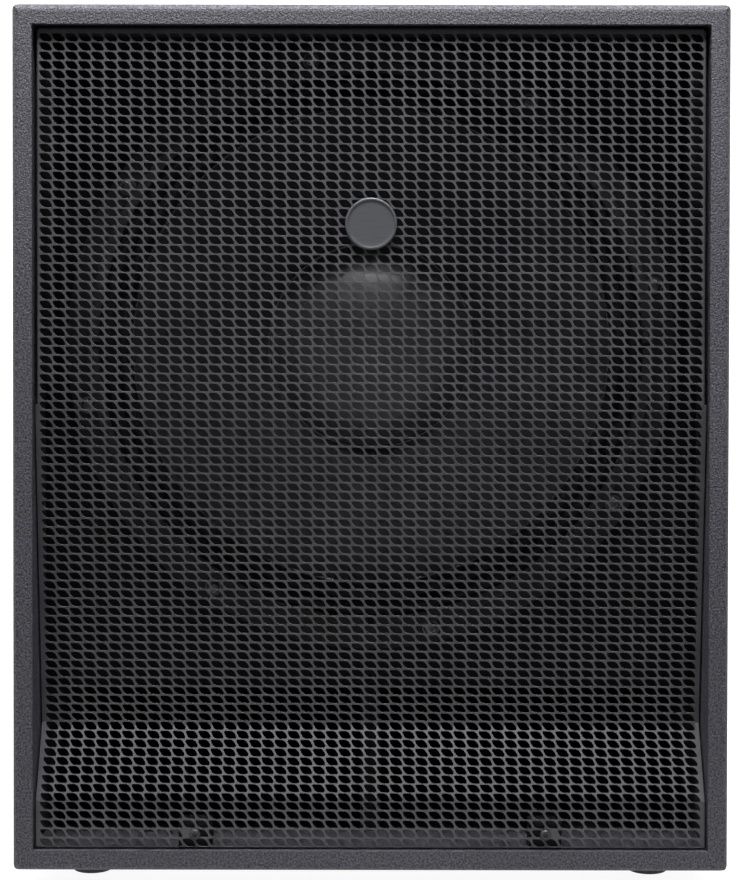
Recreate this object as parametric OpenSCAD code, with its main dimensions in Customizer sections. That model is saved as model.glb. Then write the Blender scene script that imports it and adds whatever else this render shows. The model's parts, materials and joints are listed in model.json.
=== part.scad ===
// Bass reflex loudspeaker cabinet for live sound: a plywood box with a bent
// steel grille, one large low-frequency driver and a slot port below it.
// Origin at the middle of the underside of the feet, +Z up, front towards -Y.

/* [Cabinet] */
// Width over the side panels
body_w = 525; // [505:1:560]
// Height of the box without its feet
body_h = 635; // [620:1:680]
// Depth from the front rim to the back panel
body_d = 600; // [560:1:700]
// Thickness of the plywood
ply = 15; // [15:0.5:16]
// Radius of the rounded outer edges
edge_r = 6; // [3:0.5:9]
// Depth of the baffle behind the front rim
baffle_y = 60; // [54:1:70]
// Thickness of the baffle
baffle_t = 18; // [15:1:22]
// Height of the slot port opening
port_h = 110; // [90:1:120]
// Length of the slot port behind the baffle
port_len = 422; // [300:1:440]

/* [Grille] */
// Thickness of the grille sheet
sheet = 1.5; // [1:0.1:2]
// Gap around the grille
grille_gap = 2.5; // [1.5:0.1:4]
// Depth of the grille face behind the front rim
grille_in = 6; // [4:0.5:10]
// Depth of the inward bend behind the grille face
grille_dip = 28; // [15:1:30]
// Hole pitch across, two of the fine perforation's pitches
hole_px = 18.98; // [16:0.1:24]
// Hole pitch up the sheet, two of the fine perforation's pitches
hole_pz = 13.38; // [12:0.1:18]
// Diameter of the round badge
badge_d = 38; // [30:1:46]

/* [Driver] */
// Outer diameter of the driver's frame
frame_d = 460; // [456:1:462]
// Height of the driver's axis above the underside of the box
driver_h = 386; // [384:1:387]
// Radius of the cone's outer edge
cone_r = 181; // [176:0.5:182]
// Radius of the dust cap
cap_r = 80; // [60:1:84]
// Height of the dust cap's dome
cap_h = 34; // [24:1:38]
// Pitch circle of the driver's screws
screw_pcd = 438; // [436:1:440]

/* [Fittings] */
// Height of the rubber feet
foot_h = 12; // [8:1:25]
// Diameter of a foot at its base
foot_d = 38; // [30:1:44]
// Distance of the feet from the front and back edges
foot_in = 52; // [40:1:80]
// Height of the handles above the underside of the box
handle_h = 388; // [360:1:410]
// Bore of the pole socket
pole_d = 35.4; // [35.2:0.1:36]
// Depth of the pole socket
pole_depth = 80; // [60:1:90]

/* [Hidden] */
$fn = 64;

hw = body_w / 2;
hd = body_d / 2;
z0 = foot_h;
z1 = foot_h + body_h;
ix = hw - ply;
iz0 = z0 + ply;
iz1 = z1 - ply;
yb = -hd + baffle_y;
port_top = iz0 + port_h;
axis_z = z0 + driver_h;
port_back = yb + baffle_t + port_len;
handle_z = z0 + handle_h;

// Bends of the grille, [y, z] from the top edge down
gy = -hd + grille_in;
ghw = ix - grille_gap;
grille_pts = [
    [gy, iz1 - grille_gap],
    [gy, z0 + 342.5],
    [gy + grille_dip, z0 + 103.5],
    [gy, z0 + 50.8],
    [gy, iz0 + 2.3]
];
badge_z = z0 + 475;
grille_fix = [for (x = [-129, 129]) [x, z0 + 26]];

// ---------------------------------------------------------------- helpers

// Points of a rounded rectangle with n flats in each corner
function rrect(w, h, r, n) = [
    for (q = [0:3]) for (i = [0:n])
        let (a = 90 * q + 90 * i / n,
             sx = (q == 0 || q == 3) ? 1 : -1,
             sy = (q < 2) ? 1 : -1)
        [sx * (w / 2 - r) + r * cos(a), sy * (h / 2 - r) + r * sin(a)]
];

// Box given by two opposite corners
module block(a, b) {
    translate(a)
        cube(b - a);
}

// Straight bar with rounded corners along Z
module rbar(w, h, r, len, n = 6) {
    linear_extrude(len)
        polygon(rrect(w, h, r, n));
}

// The box's outer shape with all twelve edges rounded
module envelope() {
    intersection() {
        translate([0, 0, z0])
            rbar(body_w, body_d, edge_r, body_h, 5);
        translate([0, -hd, z0 + body_h / 2])
            rotate([-90, 0, 0])
                rbar(body_w, body_h, edge_r, body_d, 5);
        translate([-hw, 0, z0 + body_h / 2])
            rotate([90, 0, 90])
                rbar(body_d, body_h, edge_r, body_w, 5);
    }
}

// Puts a part drawn along +Z onto the driver's axis, running backwards
module on_axis() {
    translate([0, yb, axis_z])
        rotate([-90, 0, 0])
            children();
}

// Straight rod from one point along Y
module y_rod(x, z, ya, yz, r) {
    translate([x, ya, z])
        rotate([-90, 0, 0])
            cylinder(r = r, h = yz - ya);
}

// Pan head screw: head up from z = 0, shank down, cross recess in the head
module pan_screw(head_r, head_t, shank_r, len) {
    difference() {
        union() {
            cylinder(r = head_r, h = head_t * 0.45);
            translate([0, 0, head_t * 0.45])
                cylinder(r1 = head_r, r2 = head_r * 0.62, h = head_t * 0.55);
            translate([0, 0, -len])
                cylinder(r = shank_r, h = len + 0.2);
        }
        for (a = [0, 90])
            rotate([0, 0, a])
                translate([-head_r * 0.5, -head_r * 0.1, head_t * 0.45])
                    cube([head_r, head_r * 0.2, head_t]);
    }
}

function unit(v) = v / norm(v);

// Points along a smooth curve through p, m steps a span
function curve(p, m) = [
    for (i = [0:len(p) - 2]) for (k = [0:m - 1])
        let (t = k / m,
             a = p[max(i - 1, 0)],
             b = p[i],
             c = p[i + 1],
             d = p[min(i + 2, len(p) - 1)])
        0.5 * (2 * b + (c - a) * t + (2 * a - 5 * b + 4 * c - d) * t * t
               + (3 * b - a - 3 * c + d) * t * t * t),
    p[len(p) - 1]
];

// Round tube swept along the points c; ref is never parallel to the route
module sweep(c, r, sides, ref) {
    n = len(c);
    rings = [
        for (i = [0:n - 1])
            let (t = unit(c[min(i + 1, n - 1)] - c[max(i - 1, 0)]),
                 u = unit(cross(ref, t)),
                 v = cross(t, u))
            for (k = [0:sides - 1])
                c[i] + r * cos(360 * k / sides) * u
                     + r * sin(360 * k / sides) * v
    ];
    walls = [
        for (i = [0:n - 2]) for (k = [0:sides - 1])
            let (j = (k + 1) % sides)
            [i * sides + k, (i + 1) * sides + k,
             (i + 1) * sides + j, i * sides + j]
    ];
    ends = [
        [for (k = [0:sides - 1]) k],
        [for (k = [sides - 1:-1:0]) (n - 1) * sides + k]
    ];
    polyhedron(points = rings, faces = concat(walls, ends), convexity = 6);
}

// ---------------------------------------------------------------- cabinet

module top_panel() {
    color("#33333a")
        difference() {
            intersection() {
                block([-hw, -hd, iz1], [hw, hd, z1]);
                envelope();
            }
            translate([0, 20, iz1 - 1])
                cylinder(r = 21, h = ply + 2);
            translate([0, 20, z1 - 2.5])
                cylinder(r = 48.5, h = 4);
            for (a = [45:90:315])
                translate([38 * cos(a), 20 + 38 * sin(a), z1 - 13])
                    cylinder(r = 2, h = 12);
        }
}

module bottom_panel() {
    color("#33333a")
        difference() {
            intersection() {
                block([-hw, -hd, z0], [hw, hd, iz0]);
                envelope();
            }
            for (x = [-1, 1]) for (y = [-1, 1])
                translate([x * (hw - foot_in), y * (hd - foot_in), z0 - 1])
                    cylinder(r = 2.4, h = ply - 1);
        }
}

// One side panel; s is -1 for the left and 1 for the right
module side_panel(s) {
    difference() {
        intersection() {
            block([min(s * ix, s * hw), -hd, iz0],
                  [max(s * ix, s * hw), hd, iz1]);
            envelope();
        }
        translate([s * hw, 0, handle_z])
            rotate([90, 0, 90]) {
                translate([0, 0, -30])
                    rbar(185, 93, 16.5, 60);
                translate([0, 0, -1.5])
                    rbar(217, 125, 12.5, 3);
                for (y = [-99, 99]) for (z = [-50, 50])
                    translate([y, z, -14])
                        cylinder(r = 1.8, h = 28);
            }
    }
}

module left_side_panel() {
    color("#33333a")
        side_panel(-1);
}

module right_side_panel() {
    color("#33333a")
        side_panel(1);
}

dish_z = z0 + 238;

module back_panel() {
    color("#33333a")
        difference() {
            intersection() {
                block([-ix, hd - ply, iz0], [ix, hd, iz1]);
                envelope();
            }
            translate([0, hd - ply - 1, dish_z])
                rotate([-90, 0, 0]) {
                    rbar(153, 93, 8.5, ply + 2);
                    translate([0, 0, ply - 0.5])
                        rbar(187, 127, 8.5, 3);
                    for (x = [-83, 0, 83]) for (z = [-54, 54])
                        translate([x, z, 2])
                            cylinder(r = 1.8, h = ply);
                }
        }
}

module front_baffle() {
    color("#2b2b2f")
        difference() {
            block([-ix, yb, port_top], [ix, yb + baffle_t, iz1]);
            on_axis() {
                translate([0, 0, -1])
                    cylinder(r = 211, h = baffle_t + 2, $fn = 128);
                for (k = [0:7])
                    rotate([0, 0, 45 * k + 33])
                        translate([screw_pcd / 2, 0, -1])
                            cylinder(r = 3.8, h = baffle_t + 2);
            }
        }
}

module port_shelf() {
    color("#2b2b2f")
        block([-ix, yb + baffle_t, port_top],
              [ix, port_back, port_top + ply]);
}

module port_divider() {
    color("#2b2b2f")
        block([-ply / 2, yb, iz0], [ply / 2, port_back, port_top]);
}

module cross_brace() {
    color("#c8a878")
        block([-ix, 120, 312], [ix, 138, 372]);
}

// ----------------------------------------------------------------- grille

// Flat strip of perforated sheet, w wide and v long, its face at z = 0.
// nx by ny slanted holes in a block starting v0 from the lower edge;
// pads are [x, y, r] spots that stay solid, with a bore of radius bore.
module perforated(w, v, nx, ny, v0, pads, bore) {
    spots = [
        for (j = [0:ny - 1]) for (i = [0:nx - 1])
            let (c = [(i - (nx - 1) / 2) * hole_px, v0 + (j + 0.5) * hole_pz])
            if (len([for (p = pads)
                    if (norm(c - [p[0], p[1]]) < p[2]) 1]) == 0) c
    ];
    linear_extrude(sheet)
        difference() {
            translate([-w / 2, -0.6])
                square([w, v + 1.2]);
            for (c = spots)
                translate(c)
                    polygon([[-7.5, 5], [2.5, 5], [7.5, -5], [-2.5, -5]]);
            for (p = pads)
                translate([p[0], p[1]])
                    circle(r = bore);
        }
}

// Lays strip k of the grille between its two bends; the strip's lower edge
// is the lower bend and the sheet's thickness goes inwards
module strip(k) {
    a = grille_pts[k + 1];
    b = grille_pts[k];
    tilt = atan2(b[0] - a[0], b[1] - a[1]);
    translate([0, a[0], a[1]])
        rotate([90 - tilt, 0, 0])
            translate([0, 0, -sheet])
                children();
}

function span(k) = norm(grille_pts[k + 1] - grille_pts[k]);

module grille() {
    badge_v = badge_z - grille_pts[1][1];
    color("#3a3a3e") {
        strip(0)
            perforated(2 * ghw, span(0), 25, 20, 1.2,
                       [[0, badge_v, 17]], 2.8);
        strip(1)
            perforated(2 * ghw + 2, span(1), 25, 17, 6.6, [], 1);
        strip(2)
            perforated(2 * ghw + 1, span(2), 25, 4, 3.1, [], 1);
        strip(3)
            perforated(2 * ghw + 2, span(3), 25, 2, 3.4,
                       [for (p = grille_fix)
                           [p[0], p[1] - grille_pts[4][1], 11]], 2.2);
        for (s = [-1, 1])
            translate([s * (ghw - sheet / 2), gy + 5.5,
                       (grille_pts[0][1] + grille_pts[1][1]) / 2])
                cube([sheet, 9, span(0)], center = true);
        translate([-ghw, gy + 1, grille_pts[0][1] - sheet])
            cube([2 * ghw, 9, sheet]);
    }
}

module grille_battens() {
    color("#2b2b2f") {
        for (s = [-1, 1])
            block([min(s * ix, s * (ix - 14)), gy + 10, 370],
                  [max(s * ix, s * (ix - 14)), yb - 20, iz1]);
        for (p = grille_fix)
            difference() {
                block([p[0] - 12, gy + sheet + 0.3, iz0],
                      [p[0] + 12, gy + 17, iz0 + 21]);
                y_rod(p[0], p[1], gy, gy + 14, 1.8);
            }
    }
}

module grille_screws() {
    color("#1c1c1f")
        for (p = grille_fix)
            translate([p[0], gy, p[1]])
                rotate([90, 0, 0])
                    pan_screw(4, 2, 1.7, 13);
}

module badge() {
    color("#6a6c72") {
        translate([0, gy, badge_z])
            rotate([90, 0, 0])
                difference() {
                    union() {
                        cylinder(r = badge_d / 2, h = 2.2);
                        translate([0, 0, 2.2])
                            cylinder(r1 = badge_d / 2,
                                     r2 = badge_d / 2 - 0.8, h = 0.8);
                        translate([0, 0, -6])
                            cylinder(r = 2.5, h = 6.2);
                    }
                    translate([0, 0, 2.4])
                        cylinder(r = badge_d / 2 - 2.6, h = 2);
                }
    }
}

module badge_clip() {
    color("#8a8c90")
        translate([0, gy + sheet + 0.1, badge_z])
            rotate([-90, 0, 0])
                difference() {
                    cylinder(r = 8, h = 1);
                    translate([0, 0, -1])
                        cylinder(r = 2.6, h = 3);
                }
}

// ----------------------------------------------------------------- driver

// Profile of the cone's front face, depth behind the baffle's face
function cone_s(r) = -8 + 82 * pow((cone_r - r) / (cone_r - 49.7), 1.12);

module woofer_basket() {
    color("#202024")
        on_axis()
            difference() {
                rotate_extrude($fn = 128)
                    polygon([
                        [204, -8], [frame_d / 2, -8], [frame_d / 2, 0],
                        [210.5, 0], [210.5, 16], [122, 82], [122, 105],
                        [66, 105], [66, 101], [117, 101], [117, 87],
                        [103, 87], [103, 83], [114, 83], [204, 14.5]
                    ]);
                translate([0, 0, 18])
                    linear_extrude(60)
                        difference() {
                            circle(r = 190);
                            circle(r = 134);
                            for (k = [0:3])
                                rotate(45 * k)
                                    square([420, 30], center = true);
                        }
                for (k = [0:7])
                    rotate([0, 0, 45 * k + 33])
                        translate([screw_pcd / 2, 0, -9])
                            cylinder(r = 3.3, h = 10);
            }
}

module woofer_gasket() {
    color("#3c3c42")
        on_axis()
            translate([0, 0, -12.4])
                difference() {
                    cylinder(r = 213.8, h = 3, $fn = 128);
                    translate([0, 0, -1])
                        cylinder(r = 205, h = 5, $fn = 128);
                }
}

// Two half rolls of stiffened cloth between the frame and the cone
module woofer_surround() {
    rr = [for (i = [0:24]) cone_r + 0.2 + (204 - cone_r - 0.2) * i / 24];
    bump = [for (i = [0:24]) -9.1 - 5 * abs(sin(360 * i / 24))];
    color("#18181a")
        on_axis()
            rotate_extrude($fn = 128)
                polygon(concat(
                    [for (i = [0:24]) [rr[i], bump[i]]],
                    [[212.5, -9.1], [212.5, -8.3]],
                    [for (i = [24:-1:0]) [rr[i], bump[i] + 0.8]]));
}

module woofer_cone() {
    rr = [for (i = [0:12]) 49.7 + (cone_r - 49.7) * i / 12];
    color("#3a3a3c")
        on_axis()
            rotate_extrude($fn = 128)
                polygon(concat(
                    [for (i = [0:12]) [rr[i], cone_s(rr[i])]],
                    [for (i = [12:-1:0]) [rr[i], cone_s(rr[i]) + 1.5]]));
}

module dust_cap() {
    rim = cone_s(cap_r) - 0.4;
    sr = (cap_r * cap_r + cap_h * cap_h) / (2 * cap_h);
    sc = rim - cap_h + sr;
    amax = asin(cap_r / sr);
    color("#2e2e31")
        on_axis()
            rotate_extrude($fn = 128)
                polygon(concat(
                    [for (i = [0:12])
                        [sr * sin(amax * i / 12),
                         sc - sr * cos(amax * i / 12)]],
                    [for (i = [12:-1:0])
                        [(sr - 1) * sin(amax * i / 12),
                         sc - (sr - 1) * cos(amax * i / 12)]]));
}

// Tube on the driver's axis from depth a to depth b
module ring(r_out, r_in, a, b) {
    on_axis()
        translate([0, 0, a])
            difference() {
                cylinder(r = r_out, h = b - a, $fn = 96);
                translate([0, 0, -1])
                    cylinder(r = r_in, h = b - a + 2, $fn = 96);
            }
}

module coil_former() {
    color("#b08a4a")
        ring(49.6, 49.2, 60, 123);
}

module coil_winding() {
    color("#a5562c")
        ring(51.2, 49.65, 100, 122);
}

// Corrugated centring disc; its rim lies on the frame's inner ledge
module spider() {
    rr = [for (i = [0:40]) 49.8 + (102 - 49.8) * i / 40];
    wave = [for (i = [0:40]) 81.9 - 2.2 * sin(360 * 5 * i / 40)];
    color("#a06a28")
        on_axis()
            rotate_extrude($fn = 96)
                polygon(concat(
                    [for (i = [0:40]) [rr[i], wave[i]]],
                    [[113, 81.9], [113, 82.6]],
                    [for (i = [40:-1:0]) [rr[i], wave[i] + 0.7]]));
}

module motor_top_plate() {
    color("#2a2a2c")
        ring(105, 52.4, 105, 117);
}

module magnet_ring() {
    color("#1b1b1d")
        ring(110, 62, 117, 141);
}

module motor_back_plate() {
    color("#2a2a2c")
        on_axis()
            difference() {
                union() {
                    translate([0, 0, 141])
                        cylinder(r = 105, h = 12, $fn = 96);
                    translate([0, 0, 107])
                        cylinder(r = 48.2, h = 36, $fn = 96);
                }
                translate([0, 0, 106])
                    cylinder(r = 14, h = 50);
            }
}

module woofer_screws() {
    color("#8c8c90")
        on_axis()
            for (k = [0:7])
                rotate([0, 0, 45 * k + 33])
                    translate([screw_pcd / 2, 0, -8])
                        rotate([180, 0, 0])
                            pan_screw(5, 3.4, 2.9, 30);
}

module woofer_tee_nuts() {
    color("#9a9a9e")
        on_axis()
            for (k = [0:7])
                rotate([0, 0, 45 * k + 33])
                    translate([screw_pcd / 2, 0, 0])
                        difference() {
                            union() {
                                translate([0, 0, baffle_t])
                                    cylinder(r = 8, h = 1.4);
                                translate([0, 0, baffle_t - 11])
                                    cylinder(r = 3.7, h = 12);
                            }
                            translate([0, 0, baffle_t - 12])
                                cylinder(r = 3, h = 15);
                        }
}

term_a = 157.5;

module terminal_block() {
    color("#7a1f1c")
        on_axis()
            rotate([0, 0, term_a]) {
                translate([122, -18, 87])
                    cube([11, 36, 14]);
                for (y = [-9, 9])
                    translate([132.8, y, 94])
                        rotate([0, 90, 0])
                            cylinder(r = 2.6, h = 9);
            }
}

// Braided leads from the cone to the terminals, through a frame window
module tinsel_leads() {
    route = [[67, 0, 67.5], [92, 0, 70], [120, 0, 62], [142, 0, 62],
             [149, 0, 74], [147, 0, 87], [143.5, 0, 94]];
    color("#b98a56")
        on_axis()
            rotate([0, 0, term_a])
                for (y = [-9, 9])
                    translate([0, y, 0])
                        sweep(curve(route, 3), 1.1, 8, [0, 1, 0]);
}

module speaker_cable() {
    route = [[-128, -140, 341], [-142, -128, 330], [-162, -95, 300],
             [-168, -20, 262], [-165, 70, 240], [-130, 160, 228],
             [-75, 208, 232], [-38, 226, 246], [-32, 245, 250]];
    color("#1d1d20")
        sweep(curve(route, 4), 3.5, 8, [0.1, 0.1, 1]);
}

// --------------------------------------------------------------- fittings

// Pressed steel recess of the side handle, drawn for the right side
module handle_dish() {
    translate([hw, 0, handle_z])
        rotate([90, 0, 90])
            difference() {
                union() {
                    translate([0, 0, -1.5])
                        rbar(216, 124, 12, 1.5);
                    translate([0, 0, -62])
                        rbar(184, 92, 16, 61);
                }
                translate([0, 0, -60.5])
                    rbar(181, 89, 14.5, 62);
                for (y = [-99, 99]) for (z = [-50, 50])
                    translate([y, z, -2])
                        cylinder(r = 2.2, h = 3);
            }
}

module handle_bar() {
    translate([hw - 16, 0, handle_z])
        rotate([90, 0, 0])
            cylinder(r = 8, h = 181, center = true);
}

module handle_grip() {
    translate([hw - 16, 0, handle_z])
        rotate([90, 0, 0])
            difference() {
                cylinder(r = 13, h = 120, center = true);
                cylinder(r = 8.05, h = 122, center = true);
            }
}

module left_handle_dish() {
    color("#1f1f22")
        mirror([1, 0, 0])
            handle_dish();
}

module left_handle_bar() {
    color("#1f1f22")
        mirror([1, 0, 0])
            handle_bar();
}

module left_handle_grip() {
    color("#141416")
        mirror([1, 0, 0])
            handle_grip();
}

module right_handle_dish() {
    color("#1f1f22")
        handle_dish();
}

module right_handle_bar() {
    color("#1f1f22")
        handle_bar();
}

module right_handle_grip() {
    color("#141416")
        handle_grip();
}

module handle_screws() {
    color("#1c1c1f")
        for (s = [-1, 1])
            for (y = [-99, 99]) for (z = [-50, 50])
                translate([s * hw - s * 0.9, y, handle_z + z])
                    rotate([0, s * 90, 0])
                        translate([0, 0, -13])
                            cylinder(r = 1.7, h = 13.9);
}

module pole_cup() {
    color("#1f1f22")
        difference() {
            union() {
                translate([0, 20, z1 - 2.5])
                    cylinder(r = 48, h = 2.5, $fn = 96);
                translate([0, 20, z1 - pole_depth - 3])
                    cylinder(r = 20.5, h = pole_depth + 2);
            }
            translate([0, 20, z1 - pole_depth])
                cylinder(r = pole_d / 2, h = pole_depth + 1);
            for (a = [45:90:315])
                translate([38 * cos(a), 20 + 38 * sin(a), z1 - 3])
                    cylinder(r = 2.4, h = 4);
        }
}

module pole_cup_screws() {
    color("#1c1c1f")
        for (a = [45:90:315])
            translate([38 * cos(a), 20 + 38 * sin(a), z1 - 13])
                cylinder(r = 1.9, h = 12.8);
}

module connector_dish() {
    color("#1f1f22")
        translate([0, hd, dish_z])
            rotate([-90, 0, 0])
                difference() {
                    union() {
                        translate([0, 0, -1.5])
                            rbar(186, 126, 8, 1.5);
                        translate([0, 0, -26])
                            rbar(152, 92, 8, 25);
                    }
                    translate([0, 0, -24])
                        rbar(148, 88, 6.5, 25);
                    for (x = [-32, 32])
                        translate([x, 0, -27])
                            cylinder(r = 13.3, h = 4);
                    for (x = [-32, 32]) for (q = [-1, 1])
                        translate([x + 12 * q, 12 * q, -27])
                            cylinder(r = 1.4, h = 4);
                    for (x = [-83, 0, 83]) for (z = [-54, 54])
                        translate([x, z, -2])
                            cylinder(r = 2.2, h = 3);
                }
}

// Locking round chassis socket: square flange and a barrel with a deep bore
module socket(x) {
    translate([x, hd - 24, dish_z])
        rotate([-90, 0, 0])
            difference() {
                union() {
                    rbar(32, 32, 3, 2);
                    translate([0, 0, -30])
                        cylinder(r = 13, h = 31);
                }
                translate([0, 0, -26])
                    cylinder(r = 11.2, h = 30);
                for (q = [-1, 1])
                    translate([12 * q, 12 * q, -1])
                        cylinder(r = 1.5, h = 4);
            }
}

module input_socket() {
    color("#26262a")
        socket(-32);
}

module link_socket() {
    color("#26262a")
        socket(32);
}

module socket_cores() {
    color("#2f4a72")
        for (x = [-32, 32])
            translate([x, hd - 24, dish_z])
                rotate([-90, 0, 0])
                    translate([0, 0, -26])
                        difference() {
                            cylinder(r = 6, h = 25);
                            translate([0, 0, 2])
                                cylinder(r = 3.5, h = 25);
                        }
}

module dish_screws() {
    color("#1c1c1f")
        for (x = [-83, 0, 83]) for (z = [-54, 54])
            translate([x, hd - 13, dish_z + z])
                rotate([-90, 0, 0])
                    cylinder(r = 1.7, h = 12.7);
}

module socket_screws() {
    color("#9a9a9e")
        for (x = [-32, 32]) for (q = [-1, 1])
            translate([x + 12 * q, hd - 22, dish_z - 12 * q])
                rotate([-90, 0, 0])
                    pan_screw(2.2, 1.2, 1.3, 8);
}

// Height of the ledge inside a foot that its washer clamps
foot_ledge = foot_h - 5;
washer_t = 1.2;
washer_z = foot_ledge - washer_t;

module rubber_feet() {
    color("#151517")
        for (x = [-1, 1]) for (y = [-1, 1])
            translate([x * (hw - foot_in), y * (hd - foot_in), 0])
                difference() {
                    union() {
                        cylinder(r1 = foot_d / 2 - 5, r2 = foot_d / 2 - 4,
                                 h = 1);
                        translate([0, 0, 1])
                            cylinder(r1 = foot_d / 2 - 4, r2 = foot_d / 2,
                                     h = foot_h - 1);
                    }
                    translate([0, 0, -1])
                        cylinder(r = 7.5, h = foot_ledge + 1);
                    cylinder(r = 2.6, h = foot_h + 1);
                }
}

module foot_washers() {
    color("#9a9a9e")
        for (x = [-1, 1]) for (y = [-1, 1])
            translate([x * (hw - foot_in), y * (hd - foot_in), washer_z])
                difference() {
                    cylinder(r = 7, h = washer_t);
                    translate([0, 0, -1])
                        cylinder(r = 2.5, h = 4);
                }
}

module foot_screws() {
    color("#9a9a9e")
        for (x = [-1, 1]) for (y = [-1, 1])
            translate([x * (hw - foot_in), y * (hd - foot_in), washer_z])
                rotate([180, 0, 0])
                    pan_screw(4.4, 2.6, 2.2, 17);
}

module back_wadding() {
    color("#d8d8d2")
        block([-225, hd - ply - 30, 400], [225, hd - ply - 0.3, 615]);
}

module left_wadding() {
    color("#d8d8d2")
        block([-ix + 0.3, 150, 400], [-ix + 25, 250, 595]);
}

module right_wadding() {
    color("#d8d8d2")
        block([ix - 25, 150, 400], [ix - 0.3, 250, 595]);
}

module top_wadding() {
    color("#d8d8d2")
        block([-215, 75, iz1 - 28], [215, 250, iz1 - 0.3]);
}

top_panel();
bottom_panel();
left_side_panel();
right_side_panel();
back_panel();
front_baffle();
port_shelf();
port_divider();
cross_brace();
grille();
grille_battens();
grille_screws();
badge();
badge_clip();
woofer_basket();
woofer_gasket();
woofer_surround();
woofer_cone();
dust_cap();
coil_former();
coil_winding();
spider();
motor_top_plate();
magnet_ring();
motor_back_plate();
woofer_screws();
woofer_tee_nuts();
terminal_block();
tinsel_leads();
speaker_cable();
left_handle_dish();
left_handle_bar();
left_handle_grip();
right_handle_dish();
right_handle_bar();
right_handle_grip();
handle_screws();
pole_cup();
pole_cup_screws();
connector_dish();
input_socket();
link_socket();
socket_cores();
dish_screws();
socket_screws();
rubber_feet();
foot_washers();
foot_screws();
back_wadding();
left_wadding();
right_wadding();
top_wadding();
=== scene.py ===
import json
import math
import random

import bmesh
import bpy
import numpy as np
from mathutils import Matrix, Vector


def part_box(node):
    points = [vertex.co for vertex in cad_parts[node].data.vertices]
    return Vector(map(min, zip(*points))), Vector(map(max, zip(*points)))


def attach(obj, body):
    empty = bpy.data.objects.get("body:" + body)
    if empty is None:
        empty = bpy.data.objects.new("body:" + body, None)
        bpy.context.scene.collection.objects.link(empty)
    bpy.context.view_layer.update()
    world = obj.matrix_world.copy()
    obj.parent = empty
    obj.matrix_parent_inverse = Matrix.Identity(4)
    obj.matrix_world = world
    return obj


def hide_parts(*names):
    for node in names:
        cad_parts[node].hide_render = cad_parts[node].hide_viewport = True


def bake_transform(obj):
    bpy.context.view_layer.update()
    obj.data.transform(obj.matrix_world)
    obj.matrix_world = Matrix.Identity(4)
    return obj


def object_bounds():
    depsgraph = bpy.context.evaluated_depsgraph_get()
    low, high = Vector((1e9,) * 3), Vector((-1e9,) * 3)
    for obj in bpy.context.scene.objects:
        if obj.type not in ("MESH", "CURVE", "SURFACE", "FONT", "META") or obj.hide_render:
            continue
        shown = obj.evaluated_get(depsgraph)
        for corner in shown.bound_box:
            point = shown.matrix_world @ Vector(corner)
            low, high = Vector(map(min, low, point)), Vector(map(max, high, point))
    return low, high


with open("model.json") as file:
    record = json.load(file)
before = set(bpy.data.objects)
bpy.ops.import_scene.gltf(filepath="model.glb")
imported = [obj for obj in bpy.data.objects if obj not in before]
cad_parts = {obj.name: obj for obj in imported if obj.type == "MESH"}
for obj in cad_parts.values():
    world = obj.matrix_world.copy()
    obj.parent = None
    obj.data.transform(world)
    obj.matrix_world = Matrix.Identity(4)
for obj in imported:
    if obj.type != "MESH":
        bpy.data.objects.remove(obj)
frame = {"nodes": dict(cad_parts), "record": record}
cad_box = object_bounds()

MM = 0.001
TAU = 2 * math.pi
nodes = frame["nodes"]


def box(name):
    """Lowest and highest corner of a CAD node, in metres."""
    lo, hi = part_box(name)
    return Vector(lo), Vector(hi)


# ------------------------------------------------------------- materials

def new_material(name):
    m = bpy.data.materials.new(name)
    m.use_nodes = True
    tree = m.node_tree
    return m, tree, tree.nodes["Principled BSDF"]


def node(tree, kind, **inputs):
    n = tree.nodes.new(kind)
    for key, value in inputs.items():
        n.inputs[key.replace("_", " ")].default_value = value
    return n


def object_space(tree, scale=(1, 1, 1)):
    coord = tree.nodes.new("ShaderNodeTexCoord")
    mapping = tree.nodes.new("ShaderNodeMapping")
    mapping.inputs["Scale"].default_value = scale
    tree.links.new(coord.outputs["Object"], mapping.inputs["Vector"])
    return mapping.outputs["Vector"]


def noise(tree, vector, scale, detail=3.0, rough=0.55):
    n = node(tree, "ShaderNodeTexNoise", Scale=scale, Detail=detail, Roughness=rough)
    tree.links.new(vector, n.inputs["Vector"])
    return n.outputs["Fac"]


def ramp(tree, fac, low, high, start=0.35, end=0.65):
    """Colour that runs from low to high as fac runs from start to end."""
    r = tree.nodes.new("ShaderNodeValToRGB")
    for element, place, colour in zip(r.color_ramp.elements, (start, end), (low, high)):
        element.position = place
        element.color = (*colour, 1) if isinstance(colour, tuple) else (colour,) * 3 + (1,)
    tree.links.new(fac, r.inputs["Fac"])
    return r.outputs["Color"]


def bump(tree, shader, height, strength, distance, normal=None):
    b = node(tree, "ShaderNodeBump", Strength=strength, Distance=distance)
    tree.links.new(height, b.inputs["Height"])
    if normal is not None:
        tree.links.new(normal, b.inputs["Normal"])
    tree.links.new(b.outputs["Normal"], shader.inputs["Normal"])
    return b.outputs["Normal"]


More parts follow.
